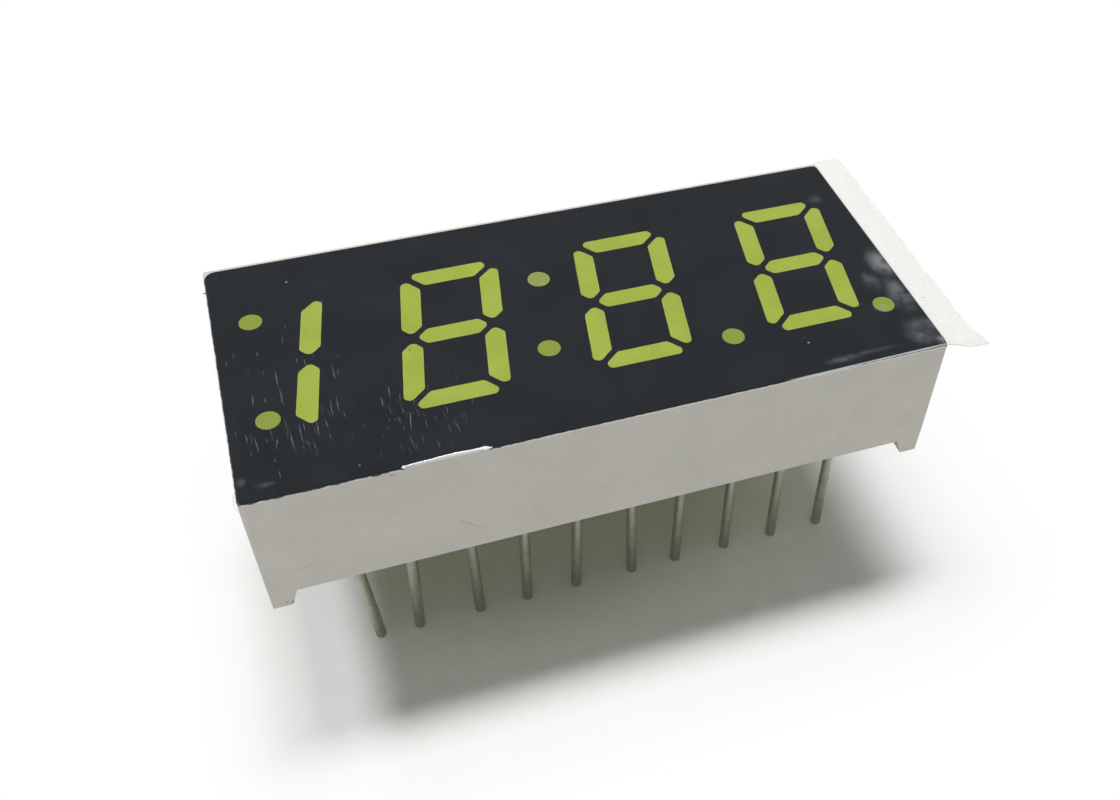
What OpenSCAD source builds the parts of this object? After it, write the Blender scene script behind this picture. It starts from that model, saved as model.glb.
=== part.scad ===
// Four-place clock display module: a leading one, three full digits, a colon and four more dots.
// Light comes from a small chip under each window. The module stands on its pins.
// The origin is the middle of the pin field, on the plane where the corner feet meet a host board.
// +X runs along the row of digits, +Y towards their tops and +Z out of the face.

/* [Housing] */
// Length of the housing along the row of digits
body_length = 30; // [25:0.1:50]
// Width of the housing across the digits
body_width = 14; // [11.6:0.1:24]
// Height of the walls, from their lower edge to the face
wall_height = 5.95; // [5.8:0.05:12]
// Thickness of the walls at the face
wall = 0.9; // [0.5:0.05:1]
// How far each outer side leans in from the face to the walls' lower edge
wall_draft = 0.08; // [0:0.01:0.2]
// Radius of the four upright corners
corner_radius = 0.25; // [0.05:0.05:0.6]
// Bevel along the edges of the face
face_bevel = 0.06; // [0:0.01:0.2]
// Depth of the reflector block, from the face to the circuit board
reflector_depth = 4; // [3:0.1:4.1]
// Radius of the inside corners of the board recess
recess_radius = 0.5; // [0.2:0.05:1]

/* [Feet] */
// Height of the corner feet below the walls
foot_height = 0.9; // [0.5:0.05:2]
// Width of a foot where it stands
foot_width = 0.9; // [0.6:0.05:2]
// How much wider a foot is at its root
foot_flare = 0.3; // [0:0.05:1]
// Radius on the standing edges of a foot
foot_round = 0.12; // [0.02:0.01:0.2]

/* [Digits] */
// Distance from the left end to the middle of the leading one's bars
leading_inset = 3.685; // [3.4:0.005:5]
// Distance from the right end to the middle of the last digit
last_digit_inset = 4.25; // [4.1:0.05:6]
// How much nearer the leading one stands than the full digits do to each other
leading_shift = 0.16; // [0:0.02:0.4]
// Bare face between a digit's ends and the long sides
digit_margin = 2.85; // [2.6:0.05:4]
// Width of a digit over its bars
digit_width = 4.45; // [3.8:0.05:4.8]
// Width of a bar
bar_width = 0.9; // [0.8:0.05:1.1]
// Gap between the ends of two bars
bar_gap = 0.29; // [0.2:0.01:0.4]
// Radius of the corners of a bar
bar_radius = 0.24; // [0.05:0.01:0.26]
// Slant of the digits, in degrees
slant = 10; // [0:0.5:12]

/* [Dots] */
// Diameter of the dots
dot_diameter = 1; // [0.85:0.05:1.2]
// Distance of the two end dots from the left end
end_dot_inset = 1.64; // [1.4:0.02:1.8]
// Distance of the two end dots from the long sides
end_dot_side = 4.02; // [3:0.02:5]
// Distance of the colon's dots from the digits' ends
colon_inset = 1.93; // [1.2:0.01:2.6]
// Distance of the points from the digits' lower ends
point_rise = 0.35; // [0:0.05:1]
// How far the inner point stands right of the middle between its digits
inner_point_shift = 0.07; // [0:0.01:0.3]
// Distance from the last digit's side to the last point
last_point_gap = 1.105; // [0.8:0.005:1.2]

/* [Light wells] */
// How far each long side of a bar draws in on its way to the board
well_side_taper = 0.15; // [0:0.01:0.17]
// How far each end of a bar draws in on its way to the board
well_end_taper = 0.4; // [0:0.05:0.8]
// How far the side of a dot draws in on its way to the board
dot_taper = 0.1; // [0:0.01:0.2]
// Gap between the resin and the walls that hold it
resin_gap = 0.01; // [0.005:0.005:0.03]
// Thickness of the black layer on the face
mask_thickness = 0.05; // [0.03:0.01:0.15]
// Housing left bare round the front and the ends of the black layer
mask_margin = 0.06; // [0.02:0.01:0.3]
// Housing left bare along the back edge
mask_back_margin = 0.24; // [0.05:0.01:0.6]
// Radius of the black layer's back left corner
mask_corner = 0.45; // [0.2:0.05:1]

/* [Core pockets] */
// Face skin left over a core pocket
core_skin = 1.1; // [0.8:0.1:2]
// Wall left between a core pocket and a light well
core_wall = 0.5; // [0.35:0.05:0.6]
// Radius of a core pocket's corners
core_radius = 0.2; // [0.05:0.05:0.3]

/* [Circuit board] */
// Thickness of the circuit board
board_thickness = 0.8; // [0.5:0.1:0.9]
// Gap between the board and the walls
board_gap = 0.1; // [0.05:0.05:0.4]
// Length and width of a light chip
chip_size = 0.26; // [0.2:0.01:0.28]
// Height of a light chip
chip_height = 0.12; // [0.08:0.01:0.2]
// Distance from a chip's middle to the landing of its wire
wire_span = 0.3; // [0.26:0.01:0.32]
// Thickness of a wire
wire_thickness = 0.03; // [0.02:0.005:0.05]
// Clearance round a chip and its wire
chip_clearance = 0.03; // [0.01:0.01:0.03]

/* [Pins] */
// Diameter of a pin
pin_diameter = 0.5; // [0.4:0.02:0.64]
// Distance from an end of the housing to the first pin of a row
first_pin_inset = 3.57; // [3:0.01:6]
// Distance from a long side to its row of pins
row_inset = 1.92; // [1.85:0.01:2]
// Number of pins in a row
pins_per_row = 10; // [4:1:10]
// Reach of the pins below the feet
pin_reach = 6.6; // [3:0.1:20]
// How far a pin stands up through the board
pin_head = 0.25; // [0:0.05:0.4]
// How far a pin's radius draws in from the walls' lower edge to its head
pin_draw = 0.01; // [0.005:0.005:0.03]
// How far the tip of the most bent front pin leans along the row
lean_reach = 0.55; // [0.1:0.05:0.6]
// Length of the taper at a pin's tip
pin_point = 0.15; // [0.05:0.01:0.4]
// Gap between a pin and the hole that it passes through
pin_clearance = 0.02; // [0.01:0.01:0.05]
// Radius of a solder joint on the board
solder_radius = 0.62; // [0.5:0.02:0.8]
// Height of a solder joint
solder_height = 0.4; // [0.2:0.05:0.45]
// Room round a pin's head in the reflector block
head_clearance = 0.3; // [0.1:0.05:0.5]
// Distance from the walls' lower edge up to the back resin
back_recess = 0.25; // [0.1:0.05:0.3]

/* [Protective film] */
// Thickness of the clear film on the face
film_thickness = 0.05; // [0.03:0.01:0.1]
// How far the film reaches past the right end
film_overhang = 1.35; // [0.2:0.05:3]
// How far the film's loose edge lifts
film_lift = 0.12; // [0.02:0.01:0.4]
// Extra reach of the film's front corner to the right
film_tip_x = 0.3; // [0:0.05:1]
// Reach of the film's front corner past the front
film_tip_y = 0.42; // [0.05:0.01:1]
// Length of the film's right edge that runs out into the front corner
film_tip_run = 1.25; // [0.6:0.05:3]

/* [Hidden] */
// Share of lean_reach by which each front pin leans, from left to right
front_lean = [1, -0.33, 0.4, 0, -0.15, 0.45, 0, 0.18, 0.22, 0.27];
pin_bend = 2.5;
solder_edge = 0.03;
solder_collar = 0.06;
tip_share = 0.6;
corner_share = 0.85;
smallest_step = 0.02;
film_tip_radius = 0.03;
arc_steps = 4;
film_steps = 10;
overcut = 0.1;
round_fn = 48;

wall_base = foot_height;
face_z = wall_base + wall_height;
mask_top = face_z + mask_thickness;
board_top = face_z - reflector_depth;
board_bottom = board_top - board_thickness;
back_resin_z = wall_base + back_recess;
side_lean = wall_draft * face_z / wall_height;
recess_length = body_length - 2 * wall;
recess_width = body_width - 2 * wall;
well_depth = reflector_depth + mask_thickness;
pin_hole_radius = pin_diameter / 2 + pin_clearance;
head_pocket_radius = pin_diameter / 2 + head_clearance;
head_pocket_depth = pin_head + head_clearance / 2;
half_bar = bar_width / 2;
digit_height = body_width - 2 * digit_margin;
bar_x = digit_width / 2 - half_bar;
bar_y = digit_height / 2 - half_bar;
// Larger corners would run into each other on the slanted mitres, where the resin is narrowest.
window_radius = min(bar_radius, corner_share * (half_bar - well_side_taper - resin_gap));
full_digits = [2, 3, 4];
leading_x = leading_inset - body_length / 2 - bar_x;
last_digit_x = body_length / 2 - last_digit_inset;
digit_pitch = (last_digit_x - leading_x + leading_shift) / len(full_digits);
row_spacing = body_width - 2 * row_inset;
pin_pitch = (body_length - 2 * first_pin_inset) / (pins_per_row - 1);
bar_letters = ["a", "b", "c", "d", "e", "f", "g"];
// The room for a chip and its wire stays inside the resin of a dot.
chip_room_front = (wire_span + chip_size) / 2 + chip_clearance;
chip_room_side = chip_size / 2 + chip_clearance;
dot_foot_radius = max(
    dot_diameter / 2 - dot_taper,
    norm([chip_room_front, chip_room_side]) + resin_gap + smallest_step
);
housing_colour = [0.69, 0.68, 0.64];
mask_colour = [0.13, 0.14, 0.16];
window_colour = [0.63, 0.69, 0.3];
board_colour = [0.36, 0.5, 0.3];
chip_colour = [0.85, 0.82, 0.45];
wire_colour = [0.85, 0.68, 0.3];
metal_colour = [0.72, 0.72, 0.7];
back_resin_colour = [0.66, 0.7, 0.42];
film_colour = [0.9, 0.92, 0.93, 0.4];

// A window is [name, x, y, bar letter], and a dot has "" for its letter.
function digit_x(digit) = digit == 1
    ? leading_x
    : last_digit_x - (full_digits[len(full_digits) - 1] - digit) * digit_pitch;
function bar_window(digit, letter) = [str("segment_", digit, letter), digit_x(digit), 0, letter];
function leaned(x, y) = x + y * tan(slant);
function dot_window(name, x, y) = [name, x, y, ""];

end_dot_x = end_dot_inset - body_length / 2;
end_dot_y = body_width / 2 - end_dot_side;
colon_x = digit_x(3) - digit_pitch / 2;
colon_y = digit_height / 2 - colon_inset;
point_y = point_rise - digit_height / 2;
inner_point_x = digit_x(3) + digit_pitch / 2 + inner_point_shift;
last_point_x = last_digit_x + digit_width / 2 + last_point_gap;
windows = concat(
    [for (letter = ["b", "c"]) bar_window(1, letter)],
    [for (digit = full_digits) for (letter = bar_letters) bar_window(digit, letter)],
    [
        dot_window("end_dot_upper", end_dot_x, end_dot_y),
        dot_window("end_dot_lower", end_dot_x, -end_dot_y),
        dot_window("colon_upper", leaned(colon_x, colon_y), colon_y),
        dot_window("colon_lower", leaned(colon_x, -colon_y), -colon_y),
        dot_window("point_inner", leaned(inner_point_x, point_y), point_y),
        dot_window("point_last", leaned(last_point_x, point_y), point_y)
    ]
);

function pin_name(i) = str("pin_", i < 9 ? "0" : "", i + 1);
pin_count = 2 * pins_per_row;
pin_names = [for (i = [0:pin_count - 1]) pin_name(i)];

// Outline helpers
function unit(v) = v / norm(v);
function corner_arc(before, at, after, radius) = radius <= 0
    ? [at]
    : let (
        u = unit(before - at),
        v = unit(after - at),
        half = acos(u * v) / 2,
        centre = at + unit(u + v) * radius / sin(half),
        first = at + u * radius / tan(half),
        last = at + v * radius / tan(half)
    )
    [for (k = [0:arc_steps]) centre + unit(first + (last - first) * k / arc_steps - centre) * radius];
function rounded(points, radii) = [
    for (i = [0:len(points) - 1])
        each corner_arc(
            points[(i + len(points) - 1) % len(points)],
            points[i],
            points[(i + 1) % len(points)],
            radii[i]
        )
];
function evenly_rounded(points, radius) = rounded(points, [for (p = points) radius]);
function flipped(points, sx, sy) = [
    for (i = [0:len(points) - 1])
        let (p = points[sx * sy < 0 ? len(points) - 1 - i : i]) [sx * p.x, sy * p.y]
];
function slanted(points) = [for (p = points) [leaned(p.x, p.y), p.y]];

// Sharp outline of one bar about the digit's middle, upright, with its sides and its ends drawn in.
// The bars meet at mitres of 45 degrees with bar_gap between them.
function bar_outline(letter, side_inset, end_inset) = let (
        h = half_bar - side_inset,
        cut = (bar_gap / 2 + end_inset) * sqrt(2),
        across = [
            [bar_x + h - cut, bar_y + h],
            [cut - bar_x - h, bar_y + h],
            [h + cut - bar_x, bar_y - h],
            [bar_x - h - cut, bar_y - h]
        ],
        upright = [
            [bar_x, cut],
            [bar_x + h, cut + h],
            [bar_x + h, bar_y + h - cut],
            [bar_x - h, bar_y - h - cut],
            [bar_x - h, cut + h]
        ],
        middle = [
            [bar_x - cut, 0],
            [bar_x - cut - h, h],
            [cut + h - bar_x, h],
            [cut - bar_x, 0],
            [cut + h - bar_x, -h],
            [bar_x - cut - h, -h]
        ]
    )
    letter == "a" ? across
    : letter == "b" ? upright
    : letter == "c" ? flipped(upright, 1, -1)
    : letter == "d" ? flipped(across, 1, -1)
    : letter == "e" ? flipped(upright, -1, -1)
    : letter == "f" ? flipped(upright, -1, 1)
    : middle;

function is_upright(letter) = letter == "b" || letter == "c" || letter == "e" || letter == "f";
function bar_centre(letter) = let (
        x = letter == "b" || letter == "c" ? bar_x : is_upright(letter) ? -bar_x : 0,
        y = letter == "a" ? bar_y : letter == "d" ? -bar_y : letter == "g" ? 0
            : letter == "b" || letter == "f" ? bar_y / 2 : -bar_y / 2
    )
    [leaned(x, y), y];
function window_outline(letter, side_inset, end_inset) =
    evenly_rounded(slanted(bar_outline(letter, side_inset, end_inset)), window_radius);

// Middle of a window on the face
function window_centre(window) = window[3] == ""
    ? [window[1], window[2]]
    : [window[1], window[2]] + bar_centre(window[3]);

module rounded_block(length, width, radius, z0, z1) {
    x = length / 2 - radius;
    y = width / 2 - radius;
    translate([0, 0, z0]) linear_extrude(z1 - z0) {
        square([length, 2 * y], center = true);
        square([2 * x, width], center = true);
        for (sx = [-1, 1], sy = [-1, 1]) translate([sx * x, sy * y]) circle(radius, $fn = round_fn);
    }
}

// Solid between two anticlockwise outlines of as many points, at heights z0 and z1
module loft(low, high, z0, z1) {
    n = len(low);
    polyhedron(
        points = concat([for (p = low) [p.x, p.y, z0]], [for (p = high) [p.x, p.y, z1]]),
        faces = concat(
            [[for (i = [0:n - 1]) i]],
            [[for (i = [n - 1:-1:0]) n + i]],
            [for (i = [0:n - 1]) [i, n + i, n + (i + 1) % n, (i + 1) % n]]
        )
    );
}

// The tapered space of one window, from the top of the black layer down to the board and past it by extra.
module dot_well(inset, extra) {
    top = dot_diameter / 2 - inset;
    bottom = top - (dot_diameter / 2 - dot_foot_radius) * (1 + extra / well_depth);
    translate([0, 0, board_top - extra])
        cylinder(h = well_depth + extra, r1 = bottom, r2 = top, $fn = round_fn);
}
module bar_well(letter, inset, extra) {
    grow = 1 + extra / well_depth;
    low = window_outline(letter, inset + well_side_taper * grow, inset + well_end_taper * grow);
    loft(low, window_outline(letter, inset, inset), board_top - extra, mask_top);
}
module light_well(window, inset = 0, extra = 0) {
    translate([window[1], window[2], 0])
        if (window[3] == "") dot_well(inset, extra);
        else bar_well(window[3], inset, extra);
}

// Outer form of the housing down to the feet, with leaning sides and a bevelled face
function side_profile(size) = [
    [-size / 2 + side_lean, 0],
    [size / 2 - side_lean, 0],
    [size / 2, face_z - face_bevel],
    [size / 2 - face_bevel, face_z],
    [face_bevel - size / 2, face_z],
    [-size / 2, face_z - face_bevel]
];
module outer_form() {
    intersection() {
        rotate([90, 0, 0]) linear_extrude(body_width, center = true) polygon(side_profile(body_length));
        rotate([90, 0, 90]) linear_extrude(body_length, center = true) polygon(side_profile(body_width));
        rounded_block(body_length, body_width, corner_radius, 0, face_z);
    }
}

// A corner foot stands under a long wall and is wider at its root.
module feet() {
    outline = [
        [-body_length, 0],
        [foot_width - body_length / 2, 0],
        [foot_width + foot_flare - body_length / 2, foot_height],
        [-body_length, foot_height]
    ];
    for (side = [-1, 1], end = [0, 1]) mirror([end, 0, 0])
        translate([0, side * (body_width - wall) / 2, 0]) rotate([90, 0, 0])
            linear_extrude(wall, center = true) polygon(rounded(outline, [0, foot_round, 0, 0]));
}

// Core pockets inside the loops of a full digit and between the digits keep the moulding's walls even.
module loop_pockets(digit) {
    x = bar_x - half_bar - core_wall;
    y0 = half_bar + core_wall;
    y1 = bar_y - half_bar - core_wall;
    for (up = [-1, 1]) {
        corners = [[-x, up * y0], [x, up * y0], [x, up * y1], [-x, up * y1]];
        translate([digit_x(digit), 0]) polygon(evenly_rounded(slanted(corners), core_radius));
    }
}
module gap_pocket(left, right) {
    reach = bar_x + half_bar + core_wall;
    x0 = digit_x(left) + reach;
    x1 = digit_x(right) - reach;
    difference() {
        polygon(evenly_rounded(slanted([[x0, -bar_y], [x1, -bar_y], [x1, bar_y], [x0, bar_y]]), core_radius));
        for (window = windows) if (window[3] == "")
            translate(window_centre(window)) circle(dot_diameter / 2 + core_wall, $fn = round_fn);
    }
}
module core_pockets() {
    translate([0, 0, board_top - overcut]) linear_extrude(reflector_depth - core_skin + overcut) {
        for (digit = full_digits) loop_pockets(digit);
        for (left = [1, 2, 3]) gap_pocket(left, left + 1);
    }
}

function pin_place(i) = let (column = i < pins_per_row ? i : pin_count - 1 - i)
    [(column - (pins_per_row - 1) / 2) * pin_pitch, (i < pins_per_row ? -1 : 1) * row_spacing / 2];
module at_pins() {
    for (i = [0:pin_count - 1]) translate(pin_place(i)) children();
}

module housing() {
    color(housing_colour) difference() {
        intersection() {
            outer_form();
            union() {
                translate([-body_length, -body_width, wall_base])
                    cube([2 * body_length, 2 * body_width, wall_height + overcut]);
                feet();
            }
        }
        rounded_block(recess_length, recess_width, recess_radius, wall_base - overcut, board_top);
        for (window = windows) light_well(window, extra = overcut);
        core_pockets();
        at_pins() translate([0, 0, board_top - overcut])
            cylinder(h = head_pocket_depth + overcut, r = head_pocket_radius, $fn = round_fn);
    }
}

// Black layer on the face, with a bare strip of housing behind it and a rounder back left corner
module face_mask() {
    left = mask_margin - body_length / 2;
    front = mask_margin - body_width / 2;
    back = body_width / 2 - mask_back_margin;
    outline = [[left, front], [-left, front], [-left, back], [left, back]];
    sharp = corner_radius;
    color(mask_colour) difference() {
        translate([0, 0, face_z]) linear_extrude(mask_thickness)
            polygon(rounded(outline, [sharp, sharp, sharp, mask_corner]));
        for (window = windows) light_well(window);
    }
}

// Turns a shape drawn along +X to lie along a window's bar, on the board
module on_board(window) {
    centre = window_centre(window);
    translate([centre.x, centre.y, board_top]) rotate(is_upright(window[3]) ? 90 - slant : 0) children();
}
module chip() {
    translate([-(wire_span + chip_size) / 2, -chip_size / 2, 0]) cube([chip_size, chip_size, chip_height]);
}
module bond_wire() {
    radius = wire_span / 2;
    half = wire_thickness / 2;
    translate([0, 0, chip_height]) rotate([90, 0, 0]) rotate_extrude(angle = 180, $fn = round_fn)
        translate([radius - half, -half]) square(wire_thickness);
    translate([radius - half, -half, 0]) cube([wire_thickness, wire_thickness, chip_height]);
}
module chip_room() {
    back = (wire_span + wire_thickness) / 2 + chip_clearance;
    translate([-chip_room_front, -chip_room_side, -overcut])
        cube([chip_room_front + back, 2 * chip_room_side, chip_height + back + overcut]);
}

// Tinted resin that fills one window, cast round its chip
module resin_window(window) {
    color(window_colour) difference() {
        light_well(window, inset = resin_gap);
        on_board(window) chip_room();
    }
}

module circuit_board() {
    color(board_colour) difference() {
        rounded_block(
            recess_length - 2 * board_gap,
            recess_width - 2 * board_gap,
            recess_radius - board_gap,
            board_bottom,
            board_top
        );
        at_pins() translate([0, 0, board_bottom - overcut])
            cylinder(h = board_thickness + 2 * overcut, r = pin_hole_radius, $fn = round_fn);
    }
}

module led_chips() {
    color(chip_colour) for (window = windows) on_board(window) chip();
}
module bond_wires() {
    color(wire_colour) for (window = windows) on_board(window) bond_wire();
}

// Outline of a solder joint below the board, hollow where it draws in to the pin, with a skin of grow
function solder_curve(grow) = let (
        rim = solder_radius + grow,
        edge = solder_edge + grow,
        spread = solder_radius - pin_hole_radius - solder_collar,
        drop = solder_height - solder_edge
    )
    concat(
        [[rim, 0], [rim, -edge]],
        [for (k = [1:arc_steps]) let (t = 90 * k / arc_steps)
            [rim - spread * sin(t), drop * (cos(t) - 1) - edge]],
        [[pin_hole_radius, -solder_height - grow]]
    );
module solder_joints() {
    color(metal_colour) at_pins() translate([0, 0, board_bottom]) rotate_extrude($fn = round_fn)
        polygon(concat([[pin_hole_radius, 0]], solder_curve(0)));
}

// Resin cast over the back of the board, round the solder joints and pins
module back_resin() {
    joint_room = concat(
        [[0, overcut], [solder_radius + resin_gap, overcut]],
        solder_curve(resin_gap),
        [[0, -solder_height - resin_gap]]
    );
    color(back_resin_colour) difference() {
        rounded_block(
            recess_length - 2 * resin_gap,
            recess_width - 2 * resin_gap,
            recess_radius - resin_gap,
            back_resin_z,
            board_bottom
        );
        at_pins() {
            translate([0, 0, board_bottom]) rotate_extrude($fn = round_fn) polygon(joint_room);
            translate([0, 0, back_resin_z - overcut])
                cylinder(h = board_bottom - back_resin_z + overcut, r = pin_hole_radius, $fn = round_fn);
        }
    }
}

// A round pin whose tip and head taper. Below the walls it bends to lean by the front row's list.
function pin_lean(i) = i < min(pins_per_row, len(front_lean)) ? front_lean[i] * lean_reach : 0;
module pin_stem(length) {
    radius = pin_diameter / 2;
    mirror([0, 0, 1]) {
        cylinder(h = length - pin_point, r = radius, $fn = round_fn);
        translate([0, 0, length - pin_point])
            cylinder(h = pin_point, r1 = radius, r2 = radius * tip_share, $fn = round_fn);
    }
}
module pin(i) {
    stem = pin_reach + wall_base;
    lean = pin_lean(i);
    angle = atan(abs(lean) / stem);
    radius = pin_diameter / 2;
    color(metal_colour) translate(pin_place(i)) translate([0, 0, wall_base]) {
        cylinder(h = board_top + pin_head - wall_base, r1 = radius, r2 = radius - pin_draw, $fn = round_fn);
        if (lean == 0) pin_stem(stem);
        else mirror([lean < 0 ? 1 : 0, 0, 0]) {
            translate([pin_bend, 0, 0]) rotate([90, 0, 0]) rotate([0, 0, 180])
                rotate_extrude(angle = angle, $fn = round_fn) translate([pin_bend, 0])
                    circle(radius, $fn = round_fn);
            translate([pin_bend * (1 - cos(angle)), 0, -pin_bend * sin(angle)]) rotate([0, -angle, 0])
                pin_stem(stem - pin_bend * sin(angle));
        }
    }
}

// Clear film that covers the face, reaches past its right end and lifts there to a pointed front corner
module protective_film() {
    left = corner_radius - body_length / 2;
    right = body_length / 2 + film_overhang;
    span = right + film_tip_x - body_length / 2;
    lift = [for (k = [0:film_steps]) let (t = k / film_steps)
        [body_length / 2 + span * t, mask_top + film_lift * (1 - cos(90 * t))]];
    strip = concat(
        [[left, mask_top]],
        lift,
        [for (k = [film_steps:-1:0]) lift[k] + [0, film_thickness]],
        [[left, mask_top + film_thickness]]
    );
    outline = [
        [left, mask_margin - body_width / 2],
        [body_length / 2, mask_margin - body_width / 2],
        [right + film_tip_x, -body_width / 2 - film_tip_y],
        [right, film_tip_run - body_width / 2],
        [right, body_width / 2],
        [left, body_width / 2]
    ];
    color(film_colour) intersection() {
        rotate([90, 0, 0]) linear_extrude(2 * body_width, center = true) polygon(strip);
        translate([0, 0, mask_top]) linear_extrude(film_lift + 2 * film_thickness)
            polygon(rounded(outline, [corner_radius, 0, film_tip_radius, 0, corner_radius, corner_radius]));
    }
}

housing();
face_mask();
for (window = windows) resin_window(window);
circuit_board();
led_chips();
bond_wires();
solder_joints();
back_resin();
for (i = [0:pin_count - 1]) pin(i);
protective_film();
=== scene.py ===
"""Looks of the four-place clock display module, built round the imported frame.

Lengths are written in millimetres in the part's own frame and become metres when a mesh is made.
"""
import math
import random

import bpy
import numpy as np
from mathutils import Matrix, Vector


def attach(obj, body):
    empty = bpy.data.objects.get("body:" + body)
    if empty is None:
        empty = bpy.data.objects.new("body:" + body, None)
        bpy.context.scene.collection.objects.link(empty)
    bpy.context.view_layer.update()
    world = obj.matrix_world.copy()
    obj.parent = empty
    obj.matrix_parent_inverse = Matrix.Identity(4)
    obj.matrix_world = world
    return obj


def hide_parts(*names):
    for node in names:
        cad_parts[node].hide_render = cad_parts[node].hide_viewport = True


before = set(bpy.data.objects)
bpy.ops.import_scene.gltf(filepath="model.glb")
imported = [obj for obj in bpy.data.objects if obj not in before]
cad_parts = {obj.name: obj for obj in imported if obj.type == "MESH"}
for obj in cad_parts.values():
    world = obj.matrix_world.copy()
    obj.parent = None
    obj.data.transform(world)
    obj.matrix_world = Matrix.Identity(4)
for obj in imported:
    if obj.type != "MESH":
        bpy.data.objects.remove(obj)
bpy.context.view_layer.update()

MM = 0.001
SEED = 11

# Most of a noise's values lie between these two
USUAL = (0.3, 0.7)
# The same for the veils of the film
THIN = (0.3, 0.68)

# Sizes of the part that the pieces below are laid out from
END_X = 15.0
SIDE_Y = 7.0
FACE_Z = 6.85
MASK_TOP = 6.9
FILM_THICKNESS = 0.05
MASK_BACK = 6.76
RESIN_Z = 1.15
FLOOR_Z = -6.6
PIN_HOLE_RADIUS = 0.27
PIN_PITCH = 2.54
ROW_Y = 5.08


def srgb(red, green, blue):
    """A colour given by its screen values, as Blender's linear one."""
    def linear(value):
        value /= 255
        return value / 12.92 if value <= 0.04045 else ((value + 0.055) / 1.055) ** 2.4
    return (linear(red), linear(green), linear(blue), 1.0)


def shade(colour, factor):
    """The colour made darker, or lighter with a factor over 1."""
    return tuple(min(1.0, c * factor) for c in colour[:3]) + (1.0,)


class Finish:
    """A material made of nodes. Its patterns use the frame's coordinates, in millimetres."""

    def __init__(self, name, **sockets):
        self.material = bpy.data.materials.new(name)
        self.material.use_nodes = True
        tree = self.material.node_tree
        self.nodes, self.links = tree.nodes, tree.links
        self.shader = next(n for n in self.nodes if n.type == "BSDF_PRINCIPLED")
        for socket, value in sockets.items():
            self.shader.inputs[socket.replace("_", " ")].default_value = value
        coordinates = self.nodes.new("ShaderNodeTexCoord")
        self.place = self.vector("MULTIPLY", coordinates.outputs["Object"], (1000, 1000, 1000))

    def put(self, socket, value):
        """Sets an input of a node, or links an output to it."""
        if isinstance(value, bpy.types.NodeSocket):
            self.links.new(value, socket)
        else:
            socket.default_value = value

    def vector(self, operation, a, b=(0, 0, 0)):
        node = self.nodes.new("ShaderNodeVectorMath")
        node.operation = operation
        self.put(node.inputs[0], a)
        self.put(node.inputs[1], b)
        return node.outputs["Value" if operation in ("LENGTH", "DISTANCE") else "Vector"]

    def math(self, operation, a, b=0.0, c=0.0):
        node = self.nodes.new("ShaderNodeMath")
        node.operation = operation
        node.use_clamp = False
        for socket, value in zip(node.inputs, (a, b, c)):
            self.put(socket, value)
        return node.outputs[0]

    def axis(self, name):
        """One coordinate of the point, in millimetres."""
        node = self.nodes.new("ShaderNodeSeparateXYZ")
        self.links.new(self.place, node.inputs[0])
        return node.outputs[name]

    def noise(self, scale, detail=3.0, roughness=0.55, stretch=(1, 1, 1), offset=(0, 0, 0)):
        """Noise with scale cells per millimetre."""
        node = self.nodes.new("ShaderNodeTexNoise")
        moved = self.vector("ADD", self.vector("MULTIPLY", self.place, stretch), offset)
        self.links.new(moved, node.inputs["Vector"])
        node.inputs["Scale"].default_value = scale
        node.inputs["Detail"].default_value = detail
        node.inputs["Roughness"].default_value = roughness
        return node.outputs["Fac"]

    def remap(self, value, from_low, from_high, to_low=0.0, to_high=1.0, smooth=True):
        """Takes one range to another and holds the value at the ends."""
        node = self.nodes.new("ShaderNodeMapRange")
        node.interpolation_type = "SMOOTHSTEP" if smooth else "LINEAR"
        for socket, number in zip(node.inputs, (value, from_low, from_high, to_low, to_high)):
            self.put(socket, number)
        return node.outputs["Result"]

    def mix(self, factor, a, b):
        node = self.nodes.new("ShaderNodeMix")
        node.data_type = "RGBA"
        self.put(node.inputs["Factor"], factor)
        self.put(node.inputs["A"], a)
        self.put(node.inputs["B"], b)
        return node.outputs["Result"]

    def blob(self, centre, size, fade=0.5):
        """1 inside an ellipsoid at centre, falling to 0 at its edge."""
        away = self.vector("SUBTRACT", self.place, centre)
        scaled = self.vector("DIVIDE", away, size)
        return self.remap(self.vector("LENGTH", scaled), 1 - fade, 1, 1, 0)

    def streak(self, start, end, width):
        """1 along the line from start to end, falling to 0 at width from it."""
        start, end = Vector(start), Vector(end)
        along = end - start
        from_start = self.vector("SUBTRACT", self.place, start)
        node = self.nodes.new("ShaderNodeVectorMath")
        node.operation = "DOT_PRODUCT"
        self.links.new(from_start, node.inputs[0])
        node.inputs[1].default_value = along / along.length_squared
        share = self.math("MINIMUM", self.math("MAXIMUM", node.outputs["Value"], 0.0), 1.0)
        scale = self.nodes.new("ShaderNodeVectorMath")
        scale.operation = "SCALE"
        scale.inputs[0].default_value = along
        self.links.new(share, scale.inputs["Scale"])
        away = self.vector("DISTANCE", from_start, scale.outputs["Vector"])
        return self.remap(away, width * 0.3, width, 1, 0)

    def most(self, values):
        """The highest of the values."""
        result = values[0]
        for value in values[1:]:
            result = self.math("MAXIMUM", result, value)
        return result

    def bump(self, height, distance, strength=1.0, after=None):
        """A bump of distance millimetres; returns the normal."""
        node = self.nodes.new("ShaderNodeBump")
        node.inputs["Strength"].default_value = strength
        node.inputs["Distance"].default_value = distance * MM
        self.links.new(height, node.inputs["Height"])
        if after is not None:
            self.links.new(after, node.inputs["Normal"])
        return node.outputs["Normal"]

    def to(self, socket, value):
        """Sets an input of the shader, or links an output to it."""
        self.put(self.shader.inputs[socket], value)


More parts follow.
